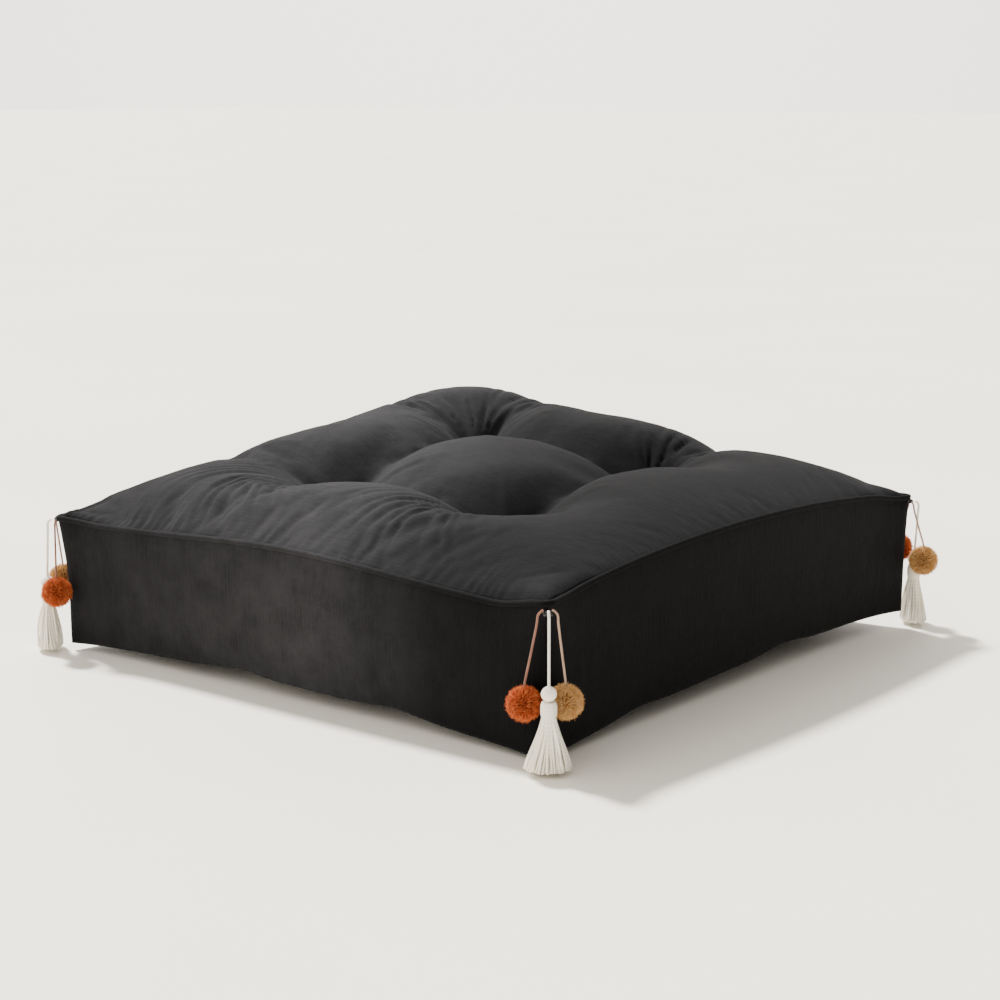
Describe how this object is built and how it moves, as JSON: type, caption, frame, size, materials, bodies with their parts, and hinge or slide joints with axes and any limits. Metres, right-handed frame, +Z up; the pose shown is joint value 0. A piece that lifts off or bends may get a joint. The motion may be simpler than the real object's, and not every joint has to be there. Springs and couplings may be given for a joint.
{
  "type": "floor cushion",
  "caption": "Square boxed floor cushion in dark ribbed velvet, tufted, piped round the top, with pompoms and a tassel swinging at each top corner.",
  "frame": {"origin": "on the floor under the middle of the cushion", "axes": "+Z up; X and Y along the sides, with -Y the front, +Y the back, -X the left and +X the right"},
  "size_m": [0.672, 0.6685, 0.209],
  "materials": {
    "velvet": "matte",
    "cotton_cord": "matte",
    "fibre_fill": "matte",
    "waxed_twine": "satin",
    "dark_thread": "satin",
    "rust_cord": "matte",
    "tan_cord": "matte",
    "cream_cord": "matte",
    "rust_yarn": "matte",
    "tan_yarn": "matte",
    "cream_cotton": "matte"
  },
  "bodies": {
    "cushion": {"cover_top": "velvet", "cover_bottom": "velvet", "side_panel_front": "velvet", "side_panel_right": "velvet", "side_panel_back": "velvet", "side_panel_left": "velvet", "top_piping": "velvet", "piping_cord": "cotton_cord", "filling": "fibre_fill", "tuft_twines": "waxed_twine", "tuft_stitches": "dark_thread", "tuft_knots": "waxed_twine", "corner_tacks": "dark_thread"},
    "front_left_rust": {"front_left_rust_cord": "rust_cord", "front_left_rust_pompom": "rust_yarn"},
    "front_left_tan": {"front_left_tan_cord": "tan_cord", "front_left_tan_pompom": "tan_yarn"},
    "front_left_tassel": {"front_left_tassel_cord": "cream_cord", "front_left_tassel_head": "cream_cotton", "front_left_tassel_collar": "cream_cotton", "front_left_tassel_skirt": "cream_cotton"},
    "back_left_rust": {"back_left_rust_cord": "rust_cord", "back_left_rust_pompom": "rust_yarn"},
    "back_left_tan": {"back_left_tan_cord": "tan_cord", "back_left_tan_pompom": "tan_yarn"},
    "back_left_tassel": {"back_left_tassel_cord": "cream_cord", "back_left_tassel_head": "cream_cotton", "back_left_tassel_collar": "cream_cotton", "back_left_tassel_skirt": "cream_cotton"},
    "front_right_rust": {"front_right_rust_cord": "rust_cord", "front_right_rust_pompom": "rust_yarn"},
    "front_right_tan": {"front_right_tan_cord": "tan_cord", "front_right_tan_pompom": "tan_yarn"},
    "front_right_tassel": {"front_right_tassel_cord": "cream_cord", "front_right_tassel_head": "cream_cotton", "front_right_tassel_collar": "cream_cotton", "front_right_tassel_skirt": "cream_cotton"},
    "back_right_rust": {"back_right_rust_cord": "rust_cord", "back_right_rust_pompom": "rust_yarn"},
    "back_right_tan": {"back_right_tan_cord": "tan_cord", "back_right_tan_pompom": "tan_yarn"},
    "back_right_tassel": {"back_right_tassel_cord": "cream_cord", "back_right_tassel_head": "cream_cotton", "back_right_tassel_collar": "cream_cotton", "back_right_tassel_skirt": "cream_cotton"}
  },
  "joints": [
    {"name": "front_left_rust_swing", "type": "hinge", "parent": "cushion", "child": "front_left_rust", "pos_m": [-0.3066, -0.3015, 0.136], "axis": [0, 1, 0], "range_deg": [0, 80]},
    {"name": "front_left_tan_swing", "type": "hinge", "parent": "cushion", "child": "front_left_tan", "pos_m": [-0.3015, -0.3066, 0.136], "axis": [-1, 0, 0], "range_deg": [0, 80]},
    {"name": "front_left_tassel_swing", "type": "hinge", "parent": "cushion", "child": "front_left_tassel", "pos_m": [-0.3076, -0.3076, 0.136], "axis": [-0.7071, 0.7071, 0], "range_deg": [0, 80]},
    {"name": "back_left_rust_swing", "type": "hinge", "parent": "cushion", "child": "back_left_rust", "pos_m": [-0.3066, 0.3015, 0.132], "axis": [0, 1, 0], "range_deg": [0, 80]},
    {"name": "back_left_tan_swing", "type": "hinge", "parent": "cushion", "child": "back_left_tan", "pos_m": [-0.3015, 0.3066, 0.132], "axis": [1, 0, 0], "range_deg": [0, 80]},
    {"name": "back_left_tassel_swing", "type": "hinge", "parent": "cushion", "child": "back_left_tassel", "pos_m": [-0.3076, 0.3076, 0.132], "axis": [0.7071, 0.7071, 0], "range_deg": [0, 80]},
    {"name": "front_right_rust_swing", "type": "hinge", "parent": "cushion", "child": "front_right_rust", "pos_m": [0.3066, -0.3015, 0.132], "axis": [0, -1, 0], "range_deg": [0, 80]},
    {"name": "front_right_tan_swing", "type": "hinge", "parent": "cushion", "child": "front_right_tan", "pos_m": [0.3015, -0.3066, 0.132], "axis": [-1, 0, 0], "range_deg": [0, 80]},
    {"name": "front_right_tassel_swing", "type": "hinge", "parent": "cushion", "child": "front_right_tassel", "pos_m": [0.3076, -0.3076, 0.132], "axis": [0, -1, 0], "range_deg": [0, 80]},
    {"name": "back_right_rust_swing", "type": "hinge", "parent": "cushion", "child": "back_right_rust", "pos_m": [0.3066, 0.3015, 0.132], "axis": [0, -1, 0], "range_deg": [0, 80]},
    {"name": "back_right_tan_swing", "type": "hinge", "parent": "cushion", "child": "back_right_tan", "pos_m": [0.3015, 0.3066, 0.132], "axis": [1, 0, 0], "range_deg": [0, 80]},
    {"name": "back_right_tassel_swing", "type": "hinge", "parent": "cushion", "child": "back_right_tassel", "pos_m": [0.3076, 0.3076, 0.132], "axis": [0.7071, -0.7071, 0], "range_deg": [0, 80]}
  ]
}
